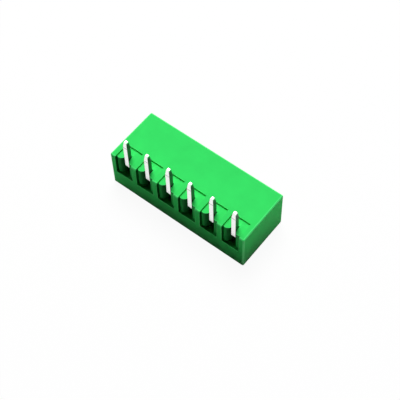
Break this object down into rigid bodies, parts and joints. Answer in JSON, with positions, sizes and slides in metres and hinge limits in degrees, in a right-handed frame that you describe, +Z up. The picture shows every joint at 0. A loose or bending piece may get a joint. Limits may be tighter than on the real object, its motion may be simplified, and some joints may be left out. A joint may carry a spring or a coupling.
{
  "type": "pluggable terminal block header",
  "caption": "Right-angle board header with a closed-end green shroud, a mating mouth for a plug, and bent square contact pins that end in solder tails.",
  "frame": {"origin": "middle of the underside of the bounding box, on the flat cover side that the header lies on", "axes": "+X along the row of poles, +Y from the slotted solder side to the mating mouth, +Z up from the cover side to the seating face and the solder tails; on a board the header is turned over so that the seating face lies on the board"},
  "size_m": [0.0316, 0.0122, 0.0142],
  "materials": {
    "housing_plastic": "satin moulded, green",
    "tinned_pin": "tin plated, bright"
  },
  "bodies": {
    "root": {"housing": "housing_plastic", "contact_pin_1": "tinned_pin", "contact_pin_2": "tinned_pin", "contact_pin_3": "tinned_pin", "contact_pin_4": "tinned_pin", "contact_pin_5": "tinned_pin", "contact_pin_6": "tinned_pin"}
  },
  "joints": []
}
